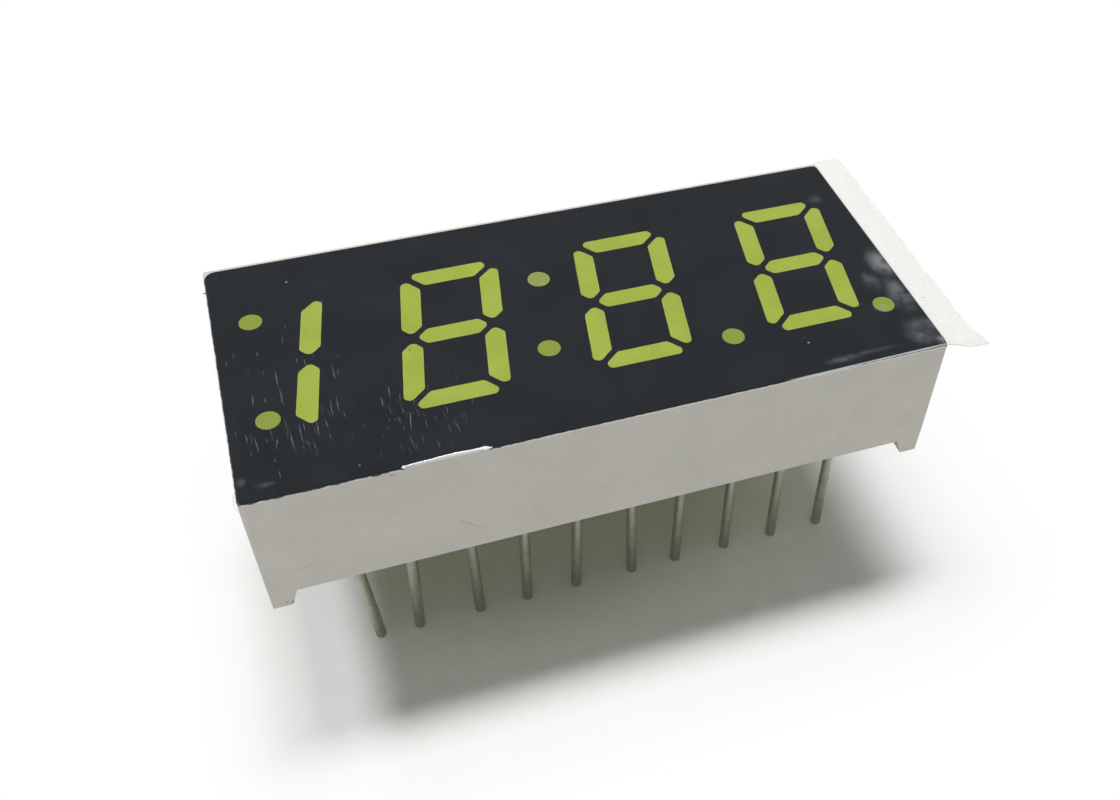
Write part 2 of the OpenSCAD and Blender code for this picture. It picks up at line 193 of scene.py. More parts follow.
def housing_finish():
    """Warm light grey moulded plastic, with the black layer's ragged edge on the bevel of the face."""
    plastic = srgb(201, 199, 191)
    f = Finish("housing_plastic", IOR=1.5)
    mottle = f.noise(0.45, 5, 0.6)
    colour = f.mix(f.remap(mottle, *USUAL), shade(plastic, 0.955), shade(plastic, 1.03))
    grain = f.noise(11, 3, 0.7, offset=(7, 3, 1))
    colour = f.mix(f.remap(grain, 0.4, 0.75, 0, 0.26), colour, shade(plastic, 0.72))
    yellowed = f.noise(0.22, 2, 0.5, offset=(3, 9, 4))
    colour = f.mix(f.remap(yellowed, 0.5, 0.75, 0, 0.3), colour, srgb(203, 198, 178))
    # handling marks: a nick in the left front foot, faint scratches and specks on the front wall
    nick = f.most([
        f.blob((-14.09, -7.0, 0.17), (0.13, 0.4, 0.09), 0.6),
        f.blob((-14.36, -7.0, 0.24), (0.16, 0.4, 0.05), 0.6),
    ])
    broken = f.remap(f.noise(9, 2), 0.35, 0.55)
    colour = f.mix(f.math("MULTIPLY", nick, broken), colour, srgb(92, 82, 72))
    specks = f.most([
        f.blob((-2.45, -7.0, 1.36), (0.06, 0.4, 0.05)),
        f.blob((-1.83, -7.0, 1.76), (0.045, 0.4, 0.035)),
        f.blob((5.1, -7.0, 2.6), (0.03, 0.4, 0.04)),
        f.blob((-9.26, -7.0, 6.68), (0.12, 0.3, 0.07)),
    ])
    colour = f.mix(f.math("MULTIPLY", specks, 0.55), colour, srgb(140, 118, 92))
    wall_y = -SIDE_Y + 0.04
    rubs = f.most([
        f.streak((-13.45, wall_y, 2.24), (-13.02, wall_y, 2.33), 0.09),
        f.streak((-6.83, wall_y, 2.84), (-6.2, wall_y, 2.23), 0.07),
        f.streak((-6.2, wall_y, 2.23), (-5.82, wall_y, 2.07), 0.07),
    ])
    colour = f.mix(f.math("MULTIPLY", rubs, 0.3), colour, srgb(140, 136, 116))
    # the black layer runs a little over the bevel, except along the back and at a chipped stretch in front
    ragged = f.noise(3.1, 4, 0.65, offset=(1, 5, 2))
    past_chip = (-6, -3)
    spread = f.remap(f.axis("X"), *past_chip, 1, 0.45)
    wander = f.remap(ragged, *USUAL, -0.03, 0.03, smooth=False)
    level = f.math("ADD", f.axis("Z"), f.math("MULTIPLY", spread, wander))
    right_end = f.remap(f.axis("X"), END_X - 0.2, END_X - 0.1, 0, 0.09)
    level = f.math("SUBTRACT", level, f.remap(f.axis("X"), *past_chip, 0, 0.017))
    inked = f.remap(f.math("ADD", level, right_end), FACE_Z - 0.045, FACE_Z - 0.03)
    corner = f.remap(f.axis("X"), 13.4, END_X, -0.3, 0.0)
    front = f.remap(f.math("SUBTRACT", f.axis("Y"), corner), MASK_BACK - 0.02, MASK_BACK + 0.02, 1, 0)
    chipped = f.blob((-7.1, -7.0, 6.85), (1.78, 0.6, 0.4), 0.1)
    inked = f.math("MULTIPLY", f.math("MULTIPLY", inked, front), f.math("SUBTRACT", 1.0, chipped))
    f.to("Base Color", f.mix(inked, colour, srgb(25, 27, 30)))
    f.to("Roughness", f.remap(f.noise(2.3, 4, offset=(2, 2, 8)), 0.3, 0.7, 0.4, 0.56))
    peel = f.bump(f.noise(1.6, 3, 0.5), 0.012, 0.6)
    f.to("Normal", f.bump(f.noise(15, 3, 0.7), 0.004, 0.7, after=peel))
    return f.material


def ink_finish():
    """Black printed layer under the film: dull, faintly blue, with fine grain and wiped patches."""
    f = Finish("black_ink", IOR=1.45)
    f.shader.inputs["Specular IOR Level"].default_value = 0.04
    cloud = f.noise(0.28, 4, 0.6)
    colour = f.mix(f.remap(cloud, *USUAL), srgb(27, 30, 34), srgb(33, 36, 40))
    grain = f.noise(9, 3, 0.7, offset=(4, 4, 4))
    colour = f.mix(f.remap(grain, 0.48, 0.8, 0, 0.5), colour, srgb(56, 60, 64))
    f.to("Base Color", colour)
    f.to("Roughness", f.remap(f.noise(0.8, 4, 0.6, offset=(5, 1, 2)), 0.3, 0.7, 0.34, 0.5))
    f.to("Normal", f.bump(f.noise(9, 3, 0.6), 0.003, 0.5))
    return f.material


def window_finish():
    """Lime resin full of light-spreading powder, a little paler where it meets the well's walls."""
    f = Finish("window_resin", IOR=1.5)
    f.shader.inputs["Specular IOR Level"].default_value = 0.06
    cloud = f.noise(0.5, 3, 0.5, offset=(8, 2, 5))
    colour = f.mix(f.remap(cloud, *USUAL), srgb(151, 167, 62), srgb(160, 175, 71))
    grain = f.noise(12, 3, 0.7)
    colour = f.mix(f.remap(grain, 0.45, 0.8, 0, 0.3), colour, srgb(182, 192, 106))
    dots = f.most([f.blob((x, y, MASK_TOP), (0.7, 0.7, 0.7), 0.25) for x, y in DOTS])
    colour = f.mix(dots, colour, srgb(136, 150, 62))
    colour = f.mix(f.blob((*UPPER_COLON, MASK_TOP), (0.75, 0.75, 0.6), 0.3), colour, srgb(141, 153, 82))
    f.to("Base Color", colour)
    f.to("Roughness", f.remap(f.noise(3, 3, offset=(1, 1, 4)), 0.3, 0.7, 0.36, 0.5))
    f.to("Normal", f.bump(f.noise(10, 3, 0.6), 0.002, 0.5))
    return f.material


def rim_finish():
    """The paler rim of a window, where the resin is thin over the well's wall."""
    f = Finish("window_rim", IOR=1.5)
    f.shader.inputs["Specular IOR Level"].default_value = 0.08
    patch = f.noise(2.1, 3, 0.6)
    f.to("Base Color", f.mix(f.remap(patch, 0.35, 0.65), srgb(150, 165, 66), srgb(180, 190, 104)))
    f.to("Roughness", f.remap(patch, *USUAL, 0.38, 0.5))
    return f.material


def metal_finish(name, bright, dull, rough, grain=(6, 6, 0.8)):
    """Tinned or plain wire: drawn along its length, with duller patches."""
    f = Finish(name, Metallic=1.0)
    drawn = f.noise(5, 4, 0.6, stretch=grain)
    patches = f.noise(1.1, 4, 0.6, offset=(3, 3, 3))
    colour = f.mix(f.remap(drawn, *USUAL), bright, shade(bright, 0.86))
    colour = f.mix(f.remap(patches, 0.42, 0.66), colour, dull)
    f.to("Base Color", colour)
    f.to("Roughness", f.remap(patches, *USUAL, rough, rough + 0.16))
    f.to("Normal", f.bump(drawn, 0.004, 0.6))
    return f


def pin_finish():
    """Tinned wire, darker towards the cut tips as painted shade, standing in for the shadowed floor that the
    lower pin reflects.
    """
    f = metal_finish("tinned_pin", srgb(194, 195, 180), srgb(164, 167, 151), rough=0.32)
    body = f.shader.inputs["Base Color"].links[0].from_socket
    # painted shade: the lower part of each pin is darkened for the shadowed floor that it reflects
    low = f.remap(f.axis("Z"), FLOOR_Z + 0.5, FLOOR_Z + 3.0, 0.3, 0)
    painted_low_shade = f.mix(low, body, srgb(92, 95, 80))
    cut = f.remap(f.axis("Z"), FLOOR_Z + 0.02, FLOOR_Z + 0.12, 0.8, 0)
    f.to("Base Color", f.mix(cut, painted_low_shade, srgb(150, 112, 84)))
    return f.material


def board_finish():
    """Woven glass board, green under its clear coat."""
    f = Finish("board", IOR=1.5)
    weave = f.noise(5, 3, 0.6, stretch=(1, 0.15, 1))
    cross = f.noise(5, 3, 0.6, stretch=(0.15, 1, 1), offset=(3, 3, 3))
    fibre = f.math("ADD", weave, cross)
    f.to("Base Color", f.mix(f.remap(fibre, 0.8, 1.2), srgb(92, 120, 66), srgb(116, 142, 86)))
    f.to("Roughness", f.remap(fibre, 0.8, 1.2, 0.4, 0.55))
    f.to("Normal", f.bump(fibre, 0.006, 0.6))
    return f.material


def chip_finish():
    """Pale yellow light chip."""
    f = Finish("chip", IOR=1.6)
    cloud = f.noise(14, 3)
    f.to("Base Color", f.mix(f.remap(cloud, *USUAL), srgb(208, 196, 120), srgb(226, 216, 150)))
    f.to("Roughness", f.remap(cloud, *USUAL, 0.25, 0.4))
    return f.material


def back_resin_finish():
    """Yellow-green casting resin, glossy, with clouds and small sunken bubbles, drawn darker in their hollows
    as painted shade.
    """
    f = Finish("back_resin", IOR=1.52)
    f.shader.inputs["Coat Weight"].default_value = 0.35
    f.shader.inputs["Coat Roughness"].default_value = 0.1
    cloud = f.noise(0.35, 5, 0.6)
    colour = f.mix(f.remap(cloud, *USUAL), srgb(138, 150, 74), srgb(170, 178, 104))
    cells = f.nodes.new("ShaderNodeTexVoronoi")
    f.links.new(f.place, cells.inputs["Vector"])
    cells.inputs["Scale"].default_value = 1.4
    pits = f.remap(cells.outputs["Distance"], 0.02, 0.12, 1, 0)
    # painted shade: the sunken bubbles are drawn darker in their hollows
    f.to("Base Color", f.mix(f.math("MULTIPLY", pits, 0.5), colour, srgb(112, 122, 58)))
    f.to("Roughness", f.remap(cloud, *USUAL, 0.16, 0.3))
    wavy = f.bump(f.noise(0.5, 2, 0.4, offset=(6, 6, 6)), 0.05, 0.5)
    f.to("Normal", f.bump(pits, -0.03, 0.8, after=wavy))
    return f.material


# The middle of the shadow on the floor, which keeps all its depth; round it the floor fades into the white
SHADOW_LEFT, SHADOW_RIGHT, SHADOW_FRONT, SHADOW_BACK = -10.2, 11.8, -8.95, 0.0

# Spots where the film has come off the face, drawn whitish as a painted sheen of light on the loose film:
# place, size and strength
FILM_SPOTS = [
    ((14.6, -1.2), (0.85, 1.35), 0.15),
    ((14.45, -0.75), (0.5, 0.7), 0.1),
    ((14.97, -0.7), (0.13, 0.5), 0.5),
    ((13.6, -2.2), (0.6, 0.95), 0.055),
    ((14.4, -3.4), (0.8, 1.6), 0.085),
    ((14.3, -5.9), (1.2, 1.15), 0.08),
    ((14.8, -6.65), (0.5, 0.6), 0.1),
    ((10.2, -6.5), (1.1, 0.26), 0.085),
    ((11.6, -6.42), (1.3, 0.18), 0.05),
    ((13.69, 4.12), (0.5, 0.5), 0.03),
    ((-14.7, -5.93), (0.26, 0.32), 0.055),
    ((-13.9, -6.3), (0.6, 0.2), 0.03),
    ((13.2, -4.0), (0.42, 0.36), 0.14),
]


def film_finish():
    """Clear film: unseen where it lies on the face, milky past the end, whitish with a painted sheen in spots
    where it has let go, and with a painted glint along its overhanging front edge.
    """
    f = Finish("clear_film", IOR=1.45)
    soft = f.noise(1.3, 4, 0.6)
    past_edge = f.remap(f.axis("X"), END_X - 0.3, END_X + 0.1)
    on_face = f.mix(f.remap(soft, *USUAL), srgb(206, 214, 220), srgb(226, 230, 228))
    fine = f.noise(8, 3, 0.6, offset=(1, 6, 2))
    hanging = f.mix(f.remap(fine, *USUAL), srgb(238, 237, 230), srgb(247, 247, 242))
    f.to("Base Color", f.mix(past_edge, on_face, hanging))
    ragged = f.noise(1.5, 3, 0.5, offset=(2, 7, 1))
    # painted sheen: where the film has let go it is drawn whitish and less clear, for the light glancing off it
    whiteness, spots = 0.8, []
    for (x, y), (rx, ry), strength in FILM_SPOTS:
        spot = f.blob((x, y, MASK_TOP), (rx, ry, 1.0), 0.95)
        spots.append(f.math("MULTIPLY", spot, whiteness * strength))
    wisps = f.noise(2.6, 3, 0.55, stretch=(1, 0.5, 1), offset=(9, 2, 5))
    uneven = f.math("MULTIPLY", f.remap(ragged, *THIN, 0.3, 1.5), f.remap(wisps, *THIN, 0.65, 1.3))
    painted_sheen = f.math("MULTIPLY", f.most(spots), uneven)
    past_end = f.remap(f.axis("X"), END_X - 0.11, END_X - 0.05, 0, 0.5)
    tip = f.remap(f.axis("X"), END_X + 0.9, END_X + 1.5, 0, 0.12)
    # painted glint: the film hanging past the front edge is drawn more opaque and whitish, for the light its
    # edge catches
    past_front = f.remap(f.axis("Y"), -SIDE_Y - 0.03, -SIDE_Y + 0.02, 0.6, 0)
    past_left = f.remap(f.axis("X"), -END_X - 0.03, -END_X, 0.4, 0)
    clear = f.most([painted_sheen, f.math("ADD", past_end, tip), past_front, past_left])
    f.to("Alpha", f.math("ADD", clear, 0.004))
    f.to("Roughness", f.remap(soft, *USUAL, 0.1, 0.26))
    f.to("Normal", f.bump(f.noise(0.9, 4, 0.6, offset=(4, 1, 1)), 0.03, 0.5))
    return f.material


def haze_finish(name, colour, alpha, rough=0.45):
    """Scuffs and threads of the film: a thin veil of uneven strength."""
    f = Finish(name, IOR=1.45)
    uneven = f.noise(4.5, 3, 0.6)
    f.to("Base Color", f.mix(f.remap(uneven, *USUAL), shade(colour, 0.86), colour))
    f.to("Alpha", f.remap(uneven, *THIN, alpha * 0.35, alpha))
    f.to("Roughness", f.remap(uneven, *USUAL, rough - 0.08, rough + 0.08))
    return f.material


def dirt_finish():
    """Dull dark crumb of the black layer."""
    f = Finish("burr_dirt", IOR=1.45)
    uneven = f.noise(9, 3, 0.6)
    f.to("Base Color", f.mix(f.remap(uneven, *USUAL), srgb(48, 54, 42), srgb(78, 86, 62)))
    f.to("Roughness", f.remap(uneven, *USUAL, 0.5, 0.7))
    return f.material


def glint_bead_finish():
    """The film's curled edge at the chipped stretch, drawn near-white as a painted highlight."""
    f = Finish("film_edge_glint", IOR=1.5)
    f.shader.inputs["Coat Weight"].default_value = 1.0
    f.shader.inputs["Coat Roughness"].default_value = 0.03
    uneven = f.noise(2.6, 3, 0.6)
    # painted highlight: the near-white colour stands in for the glint on the film's curled edge
    f.to("Base Color", f.mix(f.remap(uneven, *USUAL), srgb(226, 234, 236), srgb(253, 253, 253)))
    f.to("Roughness", f.remap(uneven, *USUAL, 0.06, 0.16))
    return f.material


def add_mesh(name, points, faces, material, smooth_angle=40, replaced=()):
    """A new piece from points in millimetres."""
    mesh = bpy.data.meshes.new(name)
    mesh.from_pydata([tuple(c * MM for c in p) for p in points], [], faces)
    mesh.validate()
    mesh.materials.append(material)
    mesh.polygons.foreach_set("use_smooth", [True] * len(mesh.polygons))
    mesh.set_sharp_from_angle(angle=math.radians(smooth_angle))
    piece = bpy.data.objects.new(name, mesh)
    bpy.context.scene.collection.objects.link(piece)
    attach(piece, "root")
    if replaced:
        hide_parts(*replaced)
    return piece


def smooth_step(low, high, value):
    """0 at low, 1 at high, with soft ends."""
    t = np.clip((value - low) / (high - low), 0, 1)
    return t * t * (3 - 2 * t)


def waves(value, seed, lengths=(3.7, 1.9, 0.8), sizes=(1.0, 0.5, 0.3)):
    """A smooth uneven line between about -1 and 1."""
    chance = random.Random(seed)
    total = np.zeros_like(value)
    for length, size in zip(lengths, sizes):
        total = total + size * np.sin(2 * math.pi * value / length + chance.uniform(0, 6.28))
    return total / sum(sizes)


# The film's edges, where nothing moves them
FILM_FRONT, FILM_BACK, FILM_RIGHT = -6.965, 6.93, 16.27
FILM_DEPTH = 2 * SIDE_Y
# Stretches of x at which the front edge moves, and by how much
CHIP_STARTS, CHIP_ENDS, CHIP_SHRINK = (-9.2, -8.3), (-6.2, -5.2), 0.05
HANG_STARTS, HANG_REACH = (6.6, 8.2), 0.085
CORNER_STARTS, CORNER_REACH = (14.6, 15.2), 0.13
TIP_STARTS, TIP_REACH = (15.0, 15.85), 0.33


def film_front(x):
    """Front edge of the film: drawn back at the chipped stretch, hanging over on the right, up to the tip."""
    y = FILM_FRONT + 0.012 * waves(x, 3)
    y = y + CHIP_SHRINK * smooth_step(*CHIP_STARTS, x) * (1 - smooth_step(*CHIP_ENDS, x))
    y = y - HANG_REACH * smooth_step(*HANG_STARTS, x)
    y = y - CORNER_REACH * smooth_step(*CORNER_STARTS, x)
    return y - TIP_REACH * smooth_step(*TIP_STARTS, x)


def film_back(x):
    """Back edge of the film, with a round corner at its right end."""
    y = FILM_BACK + 0.015 * waves(x, 4)
    round_start, round_run, round_depth = 15.85, 0.42, 0.4
    corner = np.clip((x - round_start) / round_run, 0, 1)
    return y - round_depth * (1 - np.sqrt(1 - np.minimum(corner, 0.999) ** 2))


def film_right(v):
    """Right edge of the film by v, from 0 in front, at the tip, to 1 at the back."""
    tip_run, tip_length, back_start, back_shrink = 0.085, 0.36, 0.8, 0.03
    x = FILM_RIGHT + 0.03 * waves(v * FILM_DEPTH, 5, (5.3, 2.7, 1.3))
    return x + tip_length * (1 - smooth_step(0.0, tip_run, v)) - back_shrink * smooth_step(back_start, 1.0, v)


# Height of the film's underside over the black layer, where it lies flat
FILM_REST = 0.004


def film_lift(x, y):
    """Height of the film's underside over the black layer at x and y."""
    spot_lift, loose_lift, curl, tip_drop, curl_run = 0.04, 0.075, 0.085, 0.1, 1.65
    lift = np.full_like(x, FILM_REST)
    for (sx, sy), (rx, ry), strength in FILM_SPOTS:
        r = ((x - sx) / rx) ** 2 + ((y - sy) / ry) ** 2
        lift = lift + spot_lift * strength * np.exp(-2.2 * r)
    loose = smooth_step(7.0, 14.3, x) * smooth_step(-6.35, -7.05, y)
    lift = lift + loose_lift * loose
    overhang = np.clip((x - END_X) / curl_run, 0, 1)
    ripple = 0.012 * np.sin(y * 1.7 + 0.6) * overhang
    lift = lift + curl * (1 - np.cos(0.5 * math.pi * overhang)) + ripple
    tip = smooth_step(15.7, 16.6, x) * smooth_step(-6.5, -7.4, y)
    return lift - tip_drop * tip


def protective_film():
    """The film as a closed sheet of two skins, with more columns at its right end and more rows in front."""
    end_share, front_share = 0.92, 0.12
    columns, end_columns = 200, 50
    front_rows, rows = 29, 67
    u = np.concatenate([np.linspace(0, end_share, columns), np.linspace(end_share, 1, end_columns + 1)[1:]])
    v = np.concatenate([np.linspace(0, front_share, front_rows), np.linspace(front_share, 1, rows + 1)[1:]])
    left_reach = 0.012
    left = -END_X - left_reach
    top, bottom = [], []
    for b in v:
        right = float(film_right(np.array(b)))
        x = left + left_reach * float(waves(np.array(b * FILM_DEPTH), 6)) + u * (right - left)
        y = film_front(x) + b * (film_back(x) - film_front(x))
        z = MASK_TOP + film_lift(x, y)
        bottom += list(zip(x, y, z))
        top += list(zip(x, y, z + FILM_THICKNESS))
    n, m = len(u), len(v)
    faces = []
    for j in range(m - 1):
        for i in range(n - 1):
            a = j * n + i
            faces.append((a, a + n, a + n + 1, a + 1))
            faces.append(tuple(n * m + k for k in (a, a + 1, a + n + 1, a + n)))
    rim = list(range(n)) + [j * n + n - 1 for j in range(1, m)]
    rim += [(m - 1) * n + i for i in range(n - 2, -1, -1)] + [j * n for j in range(m - 2, 0, -1)]
    for a, b in zip(rim, rim[1:] + rim[:1]):
        faces.append((a, b, b + n * m, a + n * m))
    return add_mesh("film", bottom + top, faces, film_finish(), replaced=["protective_film"])


def tube(points, radii, sides=8):
    """Points and faces of a closed tube along points."""
    path = [Vector(p) for p in points]
    rings, faces = [], []
    for i, p in enumerate(path):
        along = (path[min(i + 1, len(path) - 1)] - path[max(i - 1, 0)]).normalized()
        across = along.cross(Vector((0, 0, 1)))
        across = across.normalized() if across.length > 1e-6 else Vector((1, 0, 0))
        up = across.cross(along)
        for k in range(sides):
            t = 2 * math.pi * k / sides
            rings.append(p + (across * math.cos(t) + up * math.sin(t)) * radii[i])
    for i in range(len(path) - 1):
        for k in range(sides):
            a, b = i * sides + k, i * sides + (k + 1) % sides
            faces.append((a, a + sides, b + sides, b))
    faces.append(tuple(range(sides)))
    faces.append(tuple((len(path) - 1) * sides + k for k in range(sides - 1, -1, -1)))
    return [tuple(p) for p in rings], faces


def joined(parts):
    """Points and faces of several closed meshes as those of one."""
    points, faces = [], []
    for more, their_faces in parts:
        faces += [tuple(len(points) + k for k in face) for face in their_faces]
        points += more
    return points, faces


def spline(points, steps):
    """A smooth line through points."""
    p = [np.array(q, float) for q in points]
    p = [2 * p[0] - p[1]] + p + [2 * p[-1] - p[-2]]
    line = []
    for i in range(1, len(p) - 2):
        for k in range(steps):
            t = k / steps
            line.append(0.5 * (2 * p[i] + (p[i + 1] - p[i - 1]) * t
                + (2 * p[i - 1] - 5 * p[i] + 4 * p[i + 1] - p[i + 2]) * t * t
                + (3 * p[i] - p[i - 1] - 3 * p[i + 1] + p[i + 2]) * t ** 3))
    return line + [p[-2]]


# Scuffs on the film, each from one point to another on the face
SCUFFS = [
    ((-12.76, -0.30), (-12.73, -1.34)), ((-12.73, -1.34), (-12.66, -2.42)),
    ((-10.49, -0.89), (-10.48, -1.51)), ((-10.86, -2.62), (-10.92, -3.59)),
    ((-10.60, -2.50), (-10.65, -3.43)), ((-11.23, -3.64), (-11.18, -4.19)),
    ((-11.57, -3.68), (-11.58, -4.44)), ((-12.26, -3.66), (-12.20, -4.63)),
    ((-12.63, -3.93), (-12.57, -4.89)), ((-11.83, -4.74), (-11.78, -5.13)),
    ((-11.17, -4.38), (-11.17, -4.85)), ((-13.96, -3.80), (-13.90, -4.66)),
    ((-14.29, -3.56), (-14.25, -4.09)), ((-13.80, -1.52), (-13.79, -2.07)),
    ((-13.35, -1.76), (-13.29, -2.07)), ((-13.52, -3.94), (-13.52, -4.22)),
    ((-13.15, -4.14), (-13.16, -4.42)), ((-8.90, -3.02), (-8.93, -3.56)),
    ((-8.53, -2.52), (-8.57, -3.12)), ((-8.24, -3.92), (-8.23, -4.22)),
    ((-7.97, -4.10), (-8.10, -5.23)), ((-14.03, -6.32), (-13.66, -6.39)),
    ((-13.32, 1.14), (-13.30, 0.66)),
]


def film_top(x, y):
    """Height of the film's upper side at x and y."""
    return float(MASK_TOP + FILM_THICKNESS + film_lift(np.array(float(x)), np.array(float(y))))


def film_scuffs():
    """Hair-thin upright scratches: the ones listed above, and finer ones that gather round a few places."""
    chance = random.Random(SEED)
    lines = list(SCUFFS)
    added, gathered = 120, [(-12.3, -3.6), (-8.0, -4.0), (-7.0, -4.6), (-12.0, 0.6)]
    left_limit, right_limit, front_limit = -14.7, -5, -6.7
    broad, fine, steps = (0.012, 0.022), (0.006, 0.012), 6
    for _ in range(added):
        x, y = chance.choice(gathered)
        x += chance.gauss(0, 1.3)
        y += chance.gauss(0, 1.0)
        length = chance.uniform(0.15, 0.6)
        if left_limit < x < right_limit and y - length > front_limit:
            lines.append(((x, y), (x + chance.gauss(0, 0.03), y - length)))
    parts = []
    for number, (start, end) in enumerate(lines):
        width = chance.uniform(*(broad if number < len(SCUFFS) else fine))
        ring = []
        for k in range(steps + 1):
            t = k / steps
            x = start[0] + (end[0] - start[0]) * t + 0.012 * math.sin(5 * t + number)
            y = start[1] + (end[1] - start[1]) * t
            w = width * (0.15 + math.sin(math.pi * min(max(t, 0.04), 0.96)))
            z = film_top(x, y)
            ring += [(x - w, y, z), (x, y, z + 0.004), (x + w, y, z), (x, y, z - 0.004)]
        faces = [(0, 1, 2, 3), tuple(4 * steps + k for k in (3, 2, 1, 0))]
        for i in range(steps):
            for k in range(4):
                a, b = 4 * i + k, 4 * i + (k + 1) % 4
                faces.append((a, a + 4, b + 4, b))
        parts.append((ring, faces))
    points, faces = joined(parts)
    veil = haze_finish("film_scuff", srgb(178, 188, 202), alpha=0.18)
    return add_mesh("film_scuffs", points, faces, veil)


def grain_of_dust(x, y, z, size, chance):
    """A small uneven lump: a ring of points between a top and a bottom one."""
    count = 8
    points = [(x, y, z + size[2]), (x, y, z - size[2] * 0.5)]
    for k in range(count):
        t = 2 * math.pi * k / count
        r = chance.uniform(0.7, 1.15)
        points.append((x + size[0] * r * math.cos(t), y + size[1] * r * math.sin(t), z))
    faces = []
    for k in range(count):
        a, b = 2 + k, 2 + (k + 1) % count
        faces += [(0, a, b), (1, b, a)]
    return points, faces


# Specks on the film, each with its place and half its width
PALE_SPECKS = [(-11.57, 5.12, 0.05), (9.08, -5.17, 0.045), (9.0, -4.82, 0.022), (-10.35, -6.4, 0.03),
    (5.8, -5.6, 0.02), (1.1, 5.9, 0.022), (-3.3, -6.1, 0.02)]
DARK_SPECKS = [(-7.27, -0.66, 0.05), (-7.2, -0.6, 0.025), (15.46, 2.46, 0.035), (15.34, -3.96, 0.05)]


def specks():
    """Dust on the film: pale specks and dark ones."""
    chance = random.Random(SEED + 1)
    for kind, spots, share, height, colour, alpha in [
        ("pale_speck", PALE_SPECKS, 0.7, 0.008, srgb(225, 228, 222), 0.8),
        ("dark_speck", DARK_SPECKS, 0.6, 0.006, srgb(84, 88, 74), 0.75),
    ]:
        grains = [grain_of_dust(x, y, film_top(x, y), (size, size * share, height), chance)
            for x, y, size in spots]
        points, faces = joined(grains)
        add_mesh(kind + "s", points, faces, haze_finish(kind, colour, alpha))


def edge_burr():
    """A crumb of the black layer that stands out of the left side near the back."""
    chance = random.Random(SEED + 2)
    lumps = [
        grain_of_dust(-15.0, 5.46, 6.87, (0.13, 0.05, 0.035), chance),
        grain_of_dust(-14.93, 5.38, 6.88, (0.07, 0.1, 0.03), chance),
    ]
    points, faces = joined(lumps)
    return add_mesh("edge_burr", points, faces, dirt_finish())


def film_thread():
    """A hair-thin strand pulled out of the film at the front left corner."""
    line = spline([(-15.0, -6.35, 6.93), (-15.05, -6.62, 6.94), (-15.09, -6.9, 6.93), (-15.05, -7.12, 6.9),
        (-14.96, -7.26, 6.86), (-14.86, -7.3, 6.8)], 8)
    radii = [0.011 - 0.005 * k / len(line) for k in range(len(line))]
    points, faces = tube(line, radii)
    strand = haze_finish("film_strand", srgb(196, 205, 178), alpha=0.8, rough=0.3)
    return add_mesh("film_thread", points, faces, strand)


# Line along which the black layer has chipped back from the front edge
CHIP_LINE = [(-8.86, -7.0), (-8.62, -6.94), (-8.2, -6.905), (-7.7, -6.885), (-7.1, -6.86),
    (-6.5, -6.86), (-5.9, -6.9), (-5.5, -6.95), (-5.3, -7.0)]


def edge_chip(plastic):
    """The bare plastic that shows below the chipped line: a rounded edge over the black layer's front."""
    line = spline([(x, y, 0) for x, y in CHIP_LINE], 6)
    points, faces = [], []
    for p in line:
        back = max(p[1], -6.99)
        rise = 0.03 * (back + 7) / 0.14
        ring = [(back, -0.03), (back, rise), (0.5 * back - 3.47, 0.7 * rise),
            (min(-6.945, back - 0.004), 0.003), (-6.985, -0.035), (-7.004, -0.11), (-6.99, -0.12)]
        points += [(p[0], y, MASK_TOP + z) for y, z in ring]
    last, sides = len(line) - 1, len(ring)
    for i in range(last):
        for k in range(sides):
            a, b = sides * i + k, sides * i + (k + 1) % sides
            faces.append((a, b, b + sides, a + sides))
    faces += [tuple(range(sides - 1, -1, -1)), tuple(sides * last + k for k in range(sides))]
    return add_mesh("edge_chip", points, faces, plastic)


def edge_bead():
    """The film's curled edge along the chipped line as a bright bead, its brightness a painted highlight,
    swelling into a painted glint at each end.
    """
    middle = MASK_TOP + 0.02
    line = spline([(x, max(y, -6.985) + 0.004, middle) for x, y in CHIP_LINE], 8)
    count = len(line) - 1
    end_radius, thin, swell = 0.004, 0.024, 0.008
    # each end glint's place along the bead, its spread and its size
    end_glints = [(0.05, 0.035, 0.05), (0.84, 0.065, 0.06)]
    radii = []
    for k in range(count + 1):
        t = k / count
        glint_swell = sum(size * math.exp(-((t - at) / spread) ** 2) for at, spread, size in end_glints)
        radii.append(thin + swell * math.sin(9 * t) ** 2 + glint_swell if 0 < k < count else end_radius)
    points, faces = tube(line, radii, 10)
    flatness = 0.75
    points = [(x, y, middle + (z - middle) * flatness) for x, y, z in points]
    return add_mesh("edge_bead", points, faces, glint_bead_finish())


# Bars and dots of the face, laid out as in the part
DIGIT_WIDTH, DIGIT_HEIGHT, BAR_WIDTH, BAR_GAP, BAR_RADIUS, SLANT = 4.45, 8.3, 0.9, 0.29, 0.24, 10
DIGITS = {1: -13.09, 2: -5.25, 3: 2.75, 4: 10.75}
LEAN = math.tan(math.radians(SLANT))
DOTS = [(-13.36, 2.98), (-13.36, -2.98), (-1.25 + 2.22 * LEAN, 2.22), (-1.25 - 2.22 * LEAN, -2.22),
    (6.82 - 3.8 * LEAN, -3.8), (14.08 - 3.8 * LEAN, -3.8)]
UPPER_COLON = DOTS[2]
RIMMED_DOT_RADIUS = 0.488


